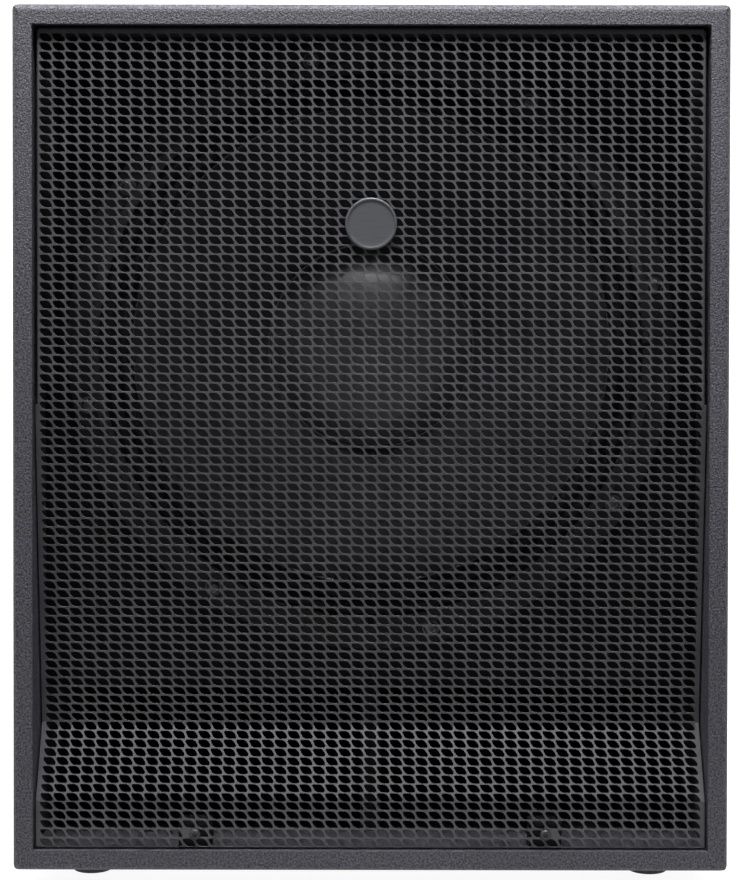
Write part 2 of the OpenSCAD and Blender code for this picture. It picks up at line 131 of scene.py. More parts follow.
def finish_material(name, dark, light, rough, metal=0.0, grain=300.0, depth=0.00008,
                    strength=0.5, patch=18.0, squash=(1, 1, 1), coat=0.0, sheen=0.0,
                    level=0.5, spread=(0.35, 0.65)):
    """A surface whose colour drifts in patches, with a fine grain in its colour,
    gloss and relief. rough is the (smooth, rough) pair that the grain runs between."""
    m, tree, shader = new_material(name)
    space = object_space(tree, squash)
    fine = noise(tree, space, grain, 4.0, 0.6)
    broad = noise(tree, space, patch, 3.0, 0.5)
    mix = tree.nodes.new("ShaderNodeMath")
    mix.operation = "MULTIPLY_ADD"
    mix.inputs[1].default_value = 0.65
    tree.links.new(fine, mix.inputs[0])
    share = tree.nodes.new("ShaderNodeMath")
    share.operation = "MULTIPLY"
    share.inputs[1].default_value = 0.35
    tree.links.new(broad, share.inputs[0])
    tree.links.new(share.outputs[0], mix.inputs[2])
    tree.links.new(ramp(tree, mix.outputs[0], dark, light, *spread),
                   shader.inputs["Base Color"])
    tree.links.new(ramp(tree, fine, rough[0], rough[1], 0.3, 0.7),
                   shader.inputs["Roughness"])
    shader.inputs["Metallic"].default_value = metal
    shader.inputs["Specular IOR Level"].default_value = level
    shader.inputs["Coat Weight"].default_value = coat
    shader.inputs["Coat Roughness"].default_value = 0.15
    shader.inputs["Sheen Weight"].default_value = sheen
    bump(tree, shader, fine, strength, depth)
    return m


def spatter_paint():
    """Rolled and sprayed structure paint: small rounded beads over an uneven coat."""
    m, tree, shader = new_material("structure_paint")
    space = object_space(tree)
    beads = node(tree, "ShaderNodeTexVoronoi", Scale=900.0, Randomness=1.0)
    beads.feature = "SMOOTH_F1"
    warp = node(tree, "ShaderNodeTexNoise", Scale=420.0, Detail=4.0)
    tree.links.new(space, warp.inputs["Vector"])
    tree.links.new(space, beads.inputs["Vector"])
    coarse = noise(tree, space, 680.0, 5.0, 0.66)
    broad = noise(tree, space, 6.0, 3.0, 0.5)
    height = tree.nodes.new("ShaderNodeMath")
    height.operation = "MULTIPLY_ADD"
    height.inputs[1].default_value = -0.9
    tree.links.new(beads.outputs["Distance"], height.inputs[0])
    tree.links.new(coarse, height.inputs[2])
    speck = ramp(tree, coarse, (0.006, 0.006, 0.008), (0.105, 0.101, 0.124), 0.38, 0.66)
    drift = ramp(tree, broad, (0.85, 0.85, 0.87), (1.0, 1.0, 1.0), 0.3, 0.7)
    colour = tree.nodes.new("ShaderNodeMix")
    colour.data_type = "RGBA"
    colour.blend_type = "MULTIPLY"
    colour.inputs["Factor"].default_value = 1.0
    tree.links.new(speck, colour.inputs["A"])
    tree.links.new(drift, colour.inputs["B"])
    tree.links.new(colour.outputs["Result"], shader.inputs["Base Color"])
    tree.links.new(ramp(tree, warp.outputs["Fac"], 0.52, 0.74, 0.3, 0.7),
                   shader.inputs["Roughness"])
    shader.inputs["Specular IOR Level"].default_value = 0.45
    bump(tree, shader, height.outputs[0], 0.9, 0.0005)
    return m


def plywood():
    """Birch ply seen on its face: long grain with soft figure."""
    m, tree, shader = new_material("birch_plywood")
    space = object_space(tree, (1.5, 14, 26))
    grain = noise(tree, space, 14.0, 6.0, 0.65)
    figure = noise(tree, space, 3.0, 3.0, 0.5)
    tree.links.new(ramp(tree, grain, (0.40, 0.25, 0.12), (0.66, 0.47, 0.28), 0.25, 0.75),
                   shader.inputs["Base Color"])
    tree.links.new(ramp(tree, figure, 0.5, 0.75), shader.inputs["Roughness"])
    bump(tree, shader, grain, 0.4, 0.0002)
    return m


def woven(name, dark, light, rough, count, depth):
    """Cloth: two crossing sets of threads with an uneven dye."""
    m, tree, shader = new_material(name)
    space = object_space(tree)
    threads = []
    for direction in ("X", "Z"):
        wave = node(tree, "ShaderNodeTexWave", Scale=count, Distortion=0.6, Detail=1.0)
        wave.bands_direction = direction
        tree.links.new(space, wave.inputs["Vector"])
        threads.append(wave.outputs["Fac"])
    weave = tree.nodes.new("ShaderNodeMath")
    weave.operation = "MULTIPLY"
    tree.links.new(threads[0], weave.inputs[0])
    tree.links.new(threads[1], weave.inputs[1])
    dye = noise(tree, space, 40.0, 4.0, 0.6)
    tree.links.new(ramp(tree, dye, dark, light), shader.inputs["Base Color"])
    tree.links.new(ramp(tree, dye, rough[0], rough[1]), shader.inputs["Roughness"])
    shader.inputs["Specular IOR Level"].default_value = 0.15
    bump(tree, shader, weave.outputs[0], 0.5, depth)
    return m


MAT = {
    "painted_wood": spatter_paint(),
    "inner_wood": finish_material("stained_wood", (0.005, 0.005, 0.006), (0.010, 0.010, 0.011),
                                  (0.55, 0.8), grain=90, squash=(1, 6, 6), depth=0.0003,
                                  level=0.15),
    "plywood": plywood(),
    "grille_steel": finish_material("grille_powder_coat", (0.028, 0.028, 0.032),
                                    (0.058, 0.058, 0.065), (0.38, 0.52), grain=900,
                                    depth=0.00006, strength=0.35, patch=30),
    "badge_metal": finish_material("badge_grey_metal", (0.060, 0.062, 0.070), (0.085, 0.088, 0.098),
                                   (0.34, 0.5), metal=0.35, grain=600, squash=(1, 1, 14),
                                   depth=0.00002, strength=0.3, patch=60),
    "zinc_steel": finish_material("zinc_plate", (0.42, 0.42, 0.44), (0.6, 0.6, 0.62),
                                  (0.25, 0.42), metal=1.0, grain=500, depth=0.00002, patch=90),
    # zinc in a darker colour than the plain zinc plate, used for the driver's frame screws
    "dark_zinc": finish_material("darker_zinc_plate", (0.10, 0.10, 0.11), (0.20, 0.20, 0.21),
                                 (0.35, 0.5), metal=1.0, grain=500, depth=0.00003, patch=90),
    "black_steel": finish_material("black_powder_coat", (0.016, 0.016, 0.018),
                                   (0.030, 0.030, 0.033), (0.4, 0.58), grain=700,
                                   depth=0.0001, strength=0.5),
    "motor_steel": finish_material("black_passivated_steel", (0.030, 0.030, 0.034),
                                   (0.055, 0.055, 0.062), (0.3, 0.5), metal=0.7, grain=260,
                                   depth=0.00005),
    "cast_frame": finish_material("frame_black_paint", (0.008, 0.008, 0.010),
                                  (0.017, 0.017, 0.019), (0.36, 0.55), grain=420,
                                  depth=0.00012, level=0.3),
    "ferrite": finish_material("ferrite", (0.028, 0.028, 0.030), (0.055, 0.054, 0.055),
                               (0.55, 0.75), grain=240, depth=0.0002),
    "rubber": finish_material("black_rubber", (0.012, 0.012, 0.013), (0.026, 0.026, 0.027),
                              (0.62, 0.82), grain=380, depth=0.00012, level=0.35),
    "surround_cloth": woven("surround_cloth", (0.006, 0.006, 0.007), (0.014, 0.014, 0.015),
                            (0.45, 0.7), 520, 0.00015),
    "cone_paper": finish_material("cone_pulp", (0.020, 0.018, 0.022), (0.036, 0.033, 0.040),
                                  (0.62, 0.82), grain=210, depth=0.00025, strength=0.6,
                                  patch=26, level=0.12),
    "cap_paper": finish_material("cap_lacquered_pulp", (0.034, 0.034, 0.037),
                                 (0.052, 0.052, 0.056), (0.34, 0.5), grain=260,
                                 depth=0.0001, coat=0.25),
    "glue": finish_material("glue_bead", (0.020, 0.020, 0.022), (0.045, 0.045, 0.048),
                            (0.08, 0.16), grain=160, depth=0.0003, coat=1.0),
    "coil_kapton": finish_material("amber_film", (0.32, 0.17, 0.04), (0.52, 0.30, 0.09),
                                   (0.2, 0.35), grain=180, depth=0.00003, coat=0.3),
    "copper": finish_material("enamelled_copper", (0.45, 0.17, 0.07), (0.68, 0.30, 0.14),
                              (0.22, 0.4), metal=1.0, grain=900, squash=(1, 9, 1), depth=0.0001),
    "spider_cloth": woven("spider_cloth", (0.28, 0.14, 0.035), (0.46, 0.26, 0.09),
                          (0.55, 0.75), 420, 0.0002),
    "terminal_plastic": finish_material("terminal_red_plastic", (0.22, 0.015, 0.012),
                                        (0.34, 0.03, 0.024), (0.35, 0.5), grain=300,
                                        depth=0.00005),
    "lead_braid": finish_material("tinned_braid", (0.42, 0.24, 0.12), (0.72, 0.48, 0.30),
                                  (0.3, 0.5), metal=1.0, grain=1300, squash=(1, 3, 1),
                                  depth=0.0002),
    "cable_sheath": finish_material("cable_sheath", (0.010, 0.010, 0.011), (0.024, 0.024, 0.026),
                                    (0.45, 0.6), grain=260, depth=0.00006),
    "socket_plastic": finish_material("socket_plastic", (0.014, 0.014, 0.016),
                                      (0.028, 0.028, 0.031), (0.3, 0.48), grain=320,
                                      depth=0.00006),
    "core_plastic": finish_material("core_blue_plastic", (0.015, 0.045, 0.13),
                                    (0.03, 0.075, 0.19), (0.3, 0.45), grain=320, depth=0.00004),
    "wadding": finish_material("polyester_wadding", (0.55, 0.55, 0.52), (0.86, 0.86, 0.83),
                               (0.85, 1.0), grain=120, depth=0.002, strength=1.0, sheen=0.4),
}

slot_of = {s["node"]: s["material_slot"] for s in frame["record"]["subparts"]}
for name, obj in nodes.items():
    obj.data.materials.clear()
    obj.data.materials.append(MAT[slot_of[name]])


# ------------------------------------------------------------ mesh tools

def make(name, verts, faces, slot, stands_for=None, body="cabinet", angle=35, mat=None):
    """One piece from plain lists. It rides on body, takes slot's finish and may
    stand for a CAD node."""
    mesh = bpy.data.meshes.new(name)
    mesh.from_pydata([tuple(v) for v in verts], [], [tuple(f) for f in faces])
    mesh.validate()
    bm = bmesh.new()
    bm.from_mesh(mesh)
    bmesh.ops.recalc_face_normals(bm, faces=bm.faces)
    bm.to_mesh(mesh)
    bm.free()
    mesh.shade_smooth()
    mesh.set_sharp_from_angle(angle=math.radians(angle))
    mesh.materials.append(MAT[mat or slot])
    obj = bpy.data.objects.new(name, mesh)
    bpy.context.scene.collection.objects.link(obj)
    if body:
        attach(obj, body)
    if stands_for:
        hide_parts(*([stands_for] if isinstance(stands_for, str) else stands_for))
    return obj


class Shape:
    """Collects the verts and faces of one piece."""

    def __init__(self):
        self.verts, self.faces = [], []

    def add(self, verts, faces, place=lambda p: p):
        base = len(self.verts)
        self.verts += [place(Vector(v)) for v in verts]
        self.faces += [tuple(base + i for i in f) for f in faces]

    def make(self, name, slot, stands_for=None, **more):
        return make(name, self.verts, self.faces, slot, stands_for, **more)


def loft(rings, closed_path=False, cap=True):
    """Verts and faces through rings of equal length. With closed_path the last
    ring joins the first; otherwise the ends are capped."""
    n, m = len(rings[0]), len(rings)
    verts = [p for r in rings for p in r]
    faces = []
    for i in range(m if closed_path else m - 1):
        a, b = i * n, ((i + 1) % m) * n
        faces += [(a + k, a + (k + 1) % n, b + (k + 1) % n, b + k) for k in range(n)]
    if cap and not closed_path:
        faces += [tuple(range(n - 1, -1, -1)), tuple((m - 1) * n + k for k in range(n))]
    return verts, faces


def lathe(profile, n=96, closed=True, wobble=None):
    """Turns (radius, height) points about Z. A closed profile joins its ends."""
    rings = []
    for r, h in profile:
        ring = []
        for k in range(n):
            a = TAU * k / n
            dr, dh = wobble(a, r, h) if wobble else (0, 0)
            ring.append(((r + dr) * math.cos(a), (r + dr) * math.sin(a), h + dh))
        rings.append(ring)
    return loft(rings, closed_path=closed)


def rounded_rect(w, h, r, n=6):
    pts = []
    for q, (sx, sy) in enumerate(((1, 1), (-1, 1), (-1, -1), (1, -1))):
        for i in range(n + 1):
            a = math.pi / 2 * (q + i / n)
            pts.append((sx * (w / 2 - r) + r * math.cos(a), sy * (h / 2 - r) + r * math.sin(a)))
    return pts


def rect_rings(steps, n=6):
    """Rings of rounded rectangles, each step being (width, height, radius, depth)."""
    return [[(x, y, d) for x, y in rounded_rect(w, h, r, n)] for w, h, r, d in steps]


def fillet(cx, cy, r, a0, a1, n=5):
    """Points of an arc about (cx, cy), in degrees."""
    return [(cx + r * math.cos(math.radians(a0 + (a1 - a0) * i / n)),
             cy + r * math.sin(math.radians(a0 + (a1 - a0) * i / n))) for i in range(n + 1)]


# ---------------------------------------------------------------- grille

g_lo, g_hi = box("grille")
SHEET = 1.5 * MM
GRILLE_FACE = g_lo.y
SET_BACK = 28 * MM        # how far the middle bend lies behind the face
# the sheet's bends as (y, z), from its top edge to its bottom edge
path = [(GRILLE_FACE, g_hi.z), (GRILLE_FACE, 354.5 * MM), (GRILLE_FACE + SET_BACK, 115.5 * MM),
        (GRILLE_FACE, 62.8 * MM), (GRILLE_FACE, g_lo.z)]
COLS, ROWS = 51, 90
TOP_MARGIN = 3.7 * MM
UPPER_HALF = 245 * MM
LOWER_HALF = 246 * MM
seg_len = [math.dist(path[i], path[i + 1]) for i in range(4)]
seg_end = np.cumsum(seg_len)
total_len = float(seg_end[-1])
PITCH_X = 9.53 * MM
PITCH_V = (total_len - TOP_MARGIN) / ROWS


def on_sheet(u, depth=0.0):
    """Point (y, z) at the developed distance u below the top edge, depth behind the face."""
    k = min(int(np.searchsorted(seg_end, u)), 3)
    start = float(seg_end[k - 1]) if k else 0.0
    t = (u - start) / seg_len[k]
    (y0, z0), (y1, z1) = path[k], path[k + 1]
    y, z = y0 + (y1 - y0) * t, z0 + (z1 - z0) * t

    def inward(j):
        dy, dz = path[j + 1][0] - path[j][0], path[j + 1][1] - path[j][1]
        length = math.hypot(dy, dz)
        return -dz / length, dy / length

    ny, nz = inward(k)
    for j, edge in ((k + 1, float(seg_end[k])), (k - 1, start)):
        if 0 <= j <= 3 and abs(u - edge) < 1e-6:
            my, mz = inward(j)
            ny, nz = (ny + my) / 2, (nz + mz) / 2
    return y + ny * depth, z + nz * depth


# The hole is a leaning slot whose two sharp ends are cut off. Points are (across, down)
# from its centre. At the face its lower edge is drawn down by the punch.
HOLE = [(x * MM, u * MM) for x, u in
        ((-4.72, -1.4), (-4.3, -2.87), (0.9, -2.87), (2.9, -1.6),
         (4.72, 1.4), (4.3, 2.87), (-0.9, 2.87), (-2.9, 1.6))]
DRAWN = 0.3 * MM
half_field = COLS * PITCH_X / 2
grille = Shape()
gv, gf = grille.verts, grille.faces


def sheet_point(x, u, depth=0.0):
    y, z = on_sheet(u, depth)
    return Vector((x, y, z))


front = {}
for j in range(ROWS + 1):
    for i in range(COLS + 1):
        for side, depth in ((0, 0.0), (1, SHEET)):
            front[i, j, side] = len(gv)
            gv.append(sheet_point(i * PITCH_X - half_field, TOP_MARGIN + j * PITCH_V, depth))
badge_at = (box("badge")[0] + box("badge")[1]) / 2
fix_lo, fix_hi = box("grille_screws")
FIX_HEAD_R = 4 * MM
FIX_Z = (fix_lo.z + fix_hi.z) / 2
fix_at = [(fix_lo.x + FIX_HEAD_R, FIX_Z), (fix_hi.x - FIX_HEAD_R, FIX_Z)]
for j in range(ROWS):
    for i in range(COLS):
        cx = (i + 0.5) * PITCH_X - half_field
        cu = TOP_MARGIN + (j + 0.5) * PITCH_V
        cz = on_sheet(cu)[1]
        corner = {s: [front[i, j, s], front[i + 1, j, s], front[i + 1, j + 1, s], front[i, j + 1, s]]
                  for s in (0, 1)}
        behind_badge = math.dist((cx, cz), (badge_at.x, badge_at.z)) < 15 * MM
        behind_screw = any(math.dist((cx, cz), p) < 5 * MM for p in fix_at)
        if behind_badge or behind_screw:     # the sheet stays whole under a fixing
            gf.append(tuple(corner[0]))
            gf.append(tuple(reversed(corner[1])))
            continue
        base = len(gv)
        for depth in (0.0, SHEET):
            for k, (hx, hu) in enumerate(HOLE):
                drop = DRAWN if k > 4 and not depth else 0.0
                gv.append(sheet_point(cx + hx, cu + hu + drop, depth))
        for side in (0, 1):
            h = [base + 8 * side + k for k in range(8)]
            TL, TR, BR, BL = corner[side]
            skin = [(TL, TR, h[4], h[3], h[2], h[1], h[0]), (TR, BR, h[4]),
                    (BR, BL, h[0], h[7], h[6], h[5], h[4]), (BL, TL, h[0])]
            gf += [tuple(reversed(f)) for f in skin] if side else skin
        gf += [(base + k, base + (k + 1) % 8, base + 8 + (k + 1) % 8, base + 8 + k)
               for k in range(8)]


def strip(x0, x1, u0, u1):
    """Plain stretch of sheet between two sides and two developed distances."""
    stops = [u0] + [float(s) for s in seg_end[:3] if u0 < s < u1] + [u1]
    rings = [[sheet_point(x, u, d) for x, d in ((x0, 0), (x1, 0), (x1, SHEET), (x0, SHEET))]
             for u in stops]
    grille.add(*loft(rings))


FOLD = 1.9 * MM       # outer radius of the folded edges
FLANGE = 10 * MM


def fold_profile(edge, inner):
    """Outline of a folded edge in (outward, depth), from the inner line to the flange."""
    arc = fillet(edge - FOLD, FOLD, FOLD, -90, 0, 5)
    back = fillet(edge - FOLD, FOLD, FOLD - SHEET, 0, -90, 4)
    return [(inner, 0)] + arc + [(edge, FLANGE), (edge - SHEET, FLANGE)] + back + [(inner, SHEET)]


for s in (-1, 1):
    prof = fold_profile(UPPER_HALF, half_field)
    rings = [[Vector((s * x, GRILLE_FACE + d, z)) for x, d in prof]
             for z in (g_hi.z - FOLD, path[1][1])]
    grille.add(*loft(rings))
    strip(s * half_field, s * LOWER_HALF, seg_len[0], total_len)
prof = fold_profile(0.0, -TOP_MARGIN)
rings = [[Vector((x, GRILLE_FACE + d, g_hi.z + o)) for o, d in prof]
         for x in (-UPPER_HALF + FOLD, UPPER_HALF - FOLD)]
grille.add(*loft(rings))
grille.make("grille_sheet", "grille_steel", "grille", angle=25)


# ----------------------------------------------------- small round things

def screw_head(shape, place, r=4 * MM, h=2 * MM, lobes=6):
    """Pan head with a six-lobe recess, drawn standing on z = 0."""
    n = 48
    rec = r * 0.46
    steps = [(r, 0), (r, h * 0.35), (r * 0.93, h * 0.66), (r * 0.74, h * 0.9), (r * 0.62, h)]
    rings = [[(q * math.cos(TAU * k / n), q * math.sin(TAU * k / n), z) for k in range(n)]
             for q, z in steps]
    for z in (h, h * 0.35):
        rings.append([((rec * (1 + 0.16 * math.cos(lobes * TAU * k / n))) * math.cos(TAU * k / n),
                       (rec * (1 + 0.16 * math.cos(lobes * TAU * k / n))) * math.sin(TAU * k / n), z)
                      for k in range(n)])
    shape.add(*loft(rings), place)


def shank(shape, place, r, length, turns_pitch=0.0):
    """Plain rod below z = 0 with shallow rings for its thread."""
    prof = [(0.00005, 0)]
    steps = max(2, int(length / (turns_pitch or length)))
    for i in range(steps):
        z = -length * i / steps
        prof += [(r, z), (r * (0.82 if turns_pitch else 1), z - length / steps * 0.5)]
    prof += [(r * 0.8, -length), (0.00005, -length)]
    shape.add(*lathe(prof, 20), place)


def facing(point, axis):
    """Placement that stands a shape drawn along +Z at point, pointing along axis."""
    q = Vector((0, 0, 1)).rotation_difference(Vector(axis))
    return lambda p: q @ p + Vector(point)


# badge: plain round medallion with a raised rim and a shallow dished face
b_lo, b_hi = box("badge")
badge = Shape()
R = (b_hi.x - b_lo.x) / 2
prof = [(0.00005, 2.15 * MM)]
prof += [(R * t, (2.15 + 0.15 * t * t) * MM) for t in (0.25, 0.5, 0.75, 0.86)]
prof += [(R - 2.0 * MM, 2.45 * MM), (R - 1.7 * MM, 2.95 * MM)]
prof += fillet(R - 1.0 * MM, 2.0 * MM, 1.0 * MM, 90, 0, 6)
prof += [(R - 0.05 * MM, 0.3 * MM), (R - 0.4 * MM, 0.02 * MM), (2.5 * MM, 0.02 * MM),
         (2.5 * MM, -6 * MM), (0.00005, -6 * MM)]
badge.add(*lathe(prof, 96), facing((badge_at.x, GRILLE_FACE, badge_at.z), (0, -1, 0)))
badge.make("badge_plate", "badge_metal", "badge", angle=30)

gs = Shape()
for x, z in fix_at:
    place = facing((x, GRILLE_FACE - 0.05 * MM, z), (0, -1, 0))
    screw_head(gs, place, FIX_HEAD_R, 1.9 * MM)
    shank(gs, place, 1.7 * MM, 13 * MM, 1.2 * MM)
gs.make("grille_screw_set", "black_steel", "grille_screws")


# ---------------------------------------------------------------- driver

w_lo, w_hi = box("woofer_basket")
AX_X = 0.0
AX_Z = (w_lo.z + w_hi.z) / 2
BAFFLE_Y = box("front_baffle")[0].y
CONE_R, COIL_R, CAP_R, CAP_H = 181 * MM, 49.7 * MM, 80 * MM, 34 * MM


def on_axis(p):
    """From the driver's own frame (depth along +Z) to the row frame."""
    return Vector((AX_X + p.x, BAFFLE_Y + p.z, AX_Z + p.y))


def cone_s(r):
    t = max((CONE_R - r) / (CONE_R - COIL_R), 0.0)
    return (-8 + 82 * t ** 1.12) * MM


def rib(r):
    """Shallow stiffening rings pressed into the cone."""
    out = 0.0
    for k in range(4):
        x = (r - (104 + 18 * k) * MM) / (2.6 * MM)
        out -= 0.7 * MM * math.exp(-x * x)
    return out


cone = Shape()
radii = np.linspace(COIL_R, CONE_R, 70)
prof = [(r, cone_s(r) + rib(r)) for r in radii] + [(r, cone_s(r) + 1.5 * MM) for r in radii[::-1]]
cone.add(*lathe(prof, 160), on_axis)
cone.make("cone_shell", "cone_paper", "woofer_cone", body="diaphragm")

cap = Shape()
rim = cone_s(CAP_R) - 0.4 * MM
sr = (CAP_R ** 2 + CAP_H ** 2) / (2 * CAP_H)
sc = rim - CAP_H + sr
amax = math.asin(CAP_R / sr)
angles = np.linspace(0.004, 1, 30) * amax
prof = [(sr * math.sin(a), sc - sr * math.cos(a)) for a in angles]
prof += [((sr - MM) * math.sin(a), sc - (sr - MM) * math.cos(a)) for a in angles[::-1]]
cap.add(*lathe(prof, 128), on_axis)
cap.make("dust_cap_dome", "cap_paper", "dust_cap", body="diaphragm")

random.seed(7)
lumps = [(random.uniform(0.3, 1.0), random.uniform(0, TAU), k) for k in (2, 3, 5, 7, 11, 17)]


def bead_wobble(a, r, h):
    w = sum(s * math.sin(k * a + p) for s, p, k in lumps) / 6
    return 0.55 * MM * w, -0.3 * MM * w


bead = Shape()
centre = (CAP_R + 0.5 * MM, cone_s(CAP_R) - 0.4 * MM)
prof = fillet(centre[0], centre[1], 1.7 * MM, 0, 360, 14)[:-1]
bead.add(*lathe(prof, 220, wobble=bead_wobble), on_axis)
centre = (CONE_R - 1.2 * MM, cone_s(CONE_R) - 0.5 * MM)
prof = fillet(centre[0], centre[1], 0.9 * MM, 0, 360, 10)[:-1]
bead.add(*lathe(prof, 220, wobble=lambda a, r, h: tuple(0.4 * v for v in bead_wobble(a, r, h))),
         on_axis)
bead.make("glue_beads", "cap_paper", None, body="diaphragm", mat="glue")

EDGE_OUT = 204 * MM
roll_r = np.linspace(CONE_R + 0.1 * MM, EDGE_OUT, 45)


def roll_s(r):
    t = (r - roll_r[0]) / (EDGE_OUT - roll_r[0])
    return (-9.1 - 5.0 * abs(math.sin(TAU * t)) ** 0.8) * MM


prof = [(r, roll_s(r)) for r in roll_r] + [(212.5 * MM, -9.1 * MM), (212.5 * MM, -8.3 * MM)]
prof += [(r, roll_s(r) + 0.7 * MM) for r in roll_r[::-1]]
surround = Shape()
surround.add(*lathe(prof, 160), on_axis)
surround_obj = surround.make("surround_roll", "surround_cloth", "woofer_surround", body=None)

SPIDER_OUT = 102 * MM
wave_r = np.linspace(49.8 * MM, SPIDER_OUT, 81)


def wave_s(r):
    return (81.9 - 2.2 * math.sin(TAU * 5 * (r - wave_r[0]) / (SPIDER_OUT - wave_r[0]))) * MM


prof = [(r, wave_s(r)) for r in wave_r] + [(113 * MM, 81.9 * MM), (113 * MM, 82.6 * MM)]
prof += [(r, wave_s(r) + 0.6 * MM) for r in wave_r[::-1]]
spider = Shape()
spider.add(*lathe(prof, 128), on_axis)
spider_obj = spider.make("spider_disc", "spider_cloth", "spider", body=None)


def stretch(obj, weight):
    """Meant to let obj bend from the frame to the moving cone, weight giving each point's share; it
    only bakes obj's placement into its mesh and works out the shares, which are not kept.
    """
    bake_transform(obj)
    w = [weight(v.co) for v in obj.data.vertices]


def radial(inner, outer):
    """1 at the inner radius about the driver's axis, 0 at the outer one."""
    def weight(p):
        r = math.hypot(p.x - AX_X, p.z - AX_Z)
        t = min(max((outer - r) / (outer - inner), 0.0), 1.0)
        return t * t * (3 - 2 * t)
    return weight


stretch(surround_obj, radial(CONE_R + 0.2 * MM, EDGE_OUT))
stretch(spider_obj, radial(50 * MM, SPIDER_OUT))

TERM = math.radians(157.5)


def at_terminal(p):
    """From a frame turned to the terminal's direction to the row frame."""
    c, s = math.cos(TERM), math.sin(TERM)
    return on_axis(Vector((p.x * c - p.y * s, -(p.x * s + p.y * c), p.z)))


def catmull(pts, m):
    out = []
    for i in range(len(pts) - 1):
        a, b, c, d = (Vector(pts[max(i - 1, 0)]), Vector(pts[i]), Vector(pts[i + 1]),
                      Vector(pts[min(i + 2, len(pts) - 1)]))
        for k in range(m):
            t = k / m
            out.append(0.5 * (2 * b + (c - a) * t + (2 * a - 5 * b + 4 * c - d) * t * t
                              + (3 * b - a - 3 * c + d) * t ** 3))
    return out + [Vector(pts[-1])]


def tube(points, r, sides=12, twist=0.0, lobes=0, depth=0.0):
    """Rings swept along points, with optional twisted lobes for a braid."""
    rings = []
    side = None
    for i, p in enumerate(points):
        t = (points[min(i + 1, len(points) - 1)] - points[max(i - 1, 0)]).normalized()
        ref = side if side is not None else (Vector((0, 0, 1)) if abs(t.z) < 0.9
                                             else Vector((1, 0, 0)))
        u = (ref - t * ref.dot(t)).normalized()
        side = u
        v = t.cross(u)
        ring = []
        for k in range(sides):
            a = TAU * k / sides
            q = r * (1 + depth * math.cos(lobes * a + twist * i))
            ring.append(p + q * math.cos(a) * u + q * math.sin(a) * v)
        rings.append(ring)
    return loft(rings)


lead_route = [(67, 0, 67.5), (92, 0, 70), (120, 0, 62), (142, 0, 62), (149, 0, 74),
              (147, 0, 87), (143.5, 0, 94)]
leads = Shape()
for off in (-9, 9):
    pts = [Vector((x * MM, (y + off) * MM, z * MM)) for x, y, z in lead_route]
    leads.add(*tube(catmull(pts, 10), 1.1 * MM, 12, 0.9, 3, 0.12), at_terminal)
leads_obj = leads.make("tinsel_lead_pair", "lead_braid", "tinsel_leads", body=None)
stretch(leads_obj, radial(70 * MM, 140 * MM))

gasket = Shape()
for k in range(4):
    a0, a1 = TAU * k / 4 + 0.012, TAU * (k + 1) / 4 - 0.012
    rings = []
    for i in range(41):
        a = a0 + (a1 - a0) * i / 40
        prof = [(205.2, -9.5), (205.2, -11.9), (205.9, -12.4), (213.1, -12.4), (213.7, -11.9),
                (213.7, -9.5)]
        rings.append([(r * MM * math.cos(a), r * MM * math.sin(a), h * MM) for r, h in prof])
    gasket.add(*loft(rings), on_axis)
gasket.make("gasket_segments", "rubber", "woofer_gasket")

SCREW_ANGLES = [math.radians(45 * k + 33) for k in range(8)]
ws = Shape()
for a in SCREW_ANGLES:
    p = on_axis(Vector((219 * MM * math.cos(a), -219 * MM * math.sin(a), -8 * MM)))
    place = facing(p, (0, -1, 0))
    v, f = lathe([(3.1 * MM, 0), (6.2 * MM, 0), (6.4 * MM, 0.3 * MM), (6.2 * MM, 0.7 * MM),
                  (3.1 * MM, 0.7 * MM)], 40)
    ws.add(v, f, place)
    screw_head(ws, facing(p + Vector((0, -0.7 * MM, 0)), (0, -1, 0)), 4.9 * MM, 2.7 * MM)
    shank(ws, place, 2.85 * MM, 30 * MM, 0.9 * MM)
ws.make("frame_screws", "zinc_steel", "woofer_screws", mat="dark_zinc")


def ribbed_foot(shape, x, y, top):
    """Rubber foot: domed rim, moulded grooves round the side and a screw well."""
    R = 19 * MM
    prof = [(2.6 * MM, top)]
    prof += [(R - 0.4 * MM, top), (R, top - 0.5 * MM)]
    for i in range(3):
        z = top - (2.2 + 2.4 * i) * MM
        r = R - (0.45 + 0.9 * i) * MM
        prof += [(r + 0.25 * MM, z + 0.5 * MM), (r - 0.35 * MM, z), (r - 0.1 * MM, z - 0.5 * MM)]
    prof += fillet(R - 5.6 * MM, 1.6 * MM, 1.6 * MM, 0, -90, 6)
    prof += [(8.6 * MM, 0), (7.6 * MM, 1.0 * MM), (7.5 * MM, top - 5 * MM), (2.6 * MM, top - 5 * MM)]
    v, f = lathe(prof, 72)
    shape.add(v, f, lambda p: Vector((x + p.x, y + p.y, p.z)))


f_lo, f_hi = box("rubber_feet")
feet, fs, fw = Shape(), Shape(), Shape()
for x in (f_lo.x + 19 * MM, f_hi.x - 19 * MM):
    for y in (f_lo.y + 19 * MM, f_hi.y - 19 * MM):
        ribbed_foot(feet, x, y, f_hi.z)
        place = facing((x, y, f_hi.z - 5 * MM), (0, 0, -1))
        screw_head(fs, place, 4.4 * MM, 2.5 * MM)
        shank(fs, place, 2.2 * MM, 17 * MM, 1.3 * MM)
        fw.add(*lathe([(2.5 * MM, 0), (6.9 * MM, 0), (7 * MM, 0.2 * MM), (7 * MM, 1.0 * MM),
                       (6.9 * MM, 1.2 * MM), (2.5 * MM, 1.2 * MM)], 40),
               facing((x, y, f_hi.z - 5 * MM), (0, 0, 1)))
feet.make("feet", "rubber", "rubber_feet")
fs.make("foot_screw_set", "zinc_steel", "foot_screws")
fw.make("foot_washer_set", "zinc_steel", "foot_washers")


# --------------------------------------------------------------- handles

HALF_W = box("right_side_panel")[1].x
h_lo, h_hi = box("right_handle_dish")
HZ = (h_lo.z + h_hi.z) / 2


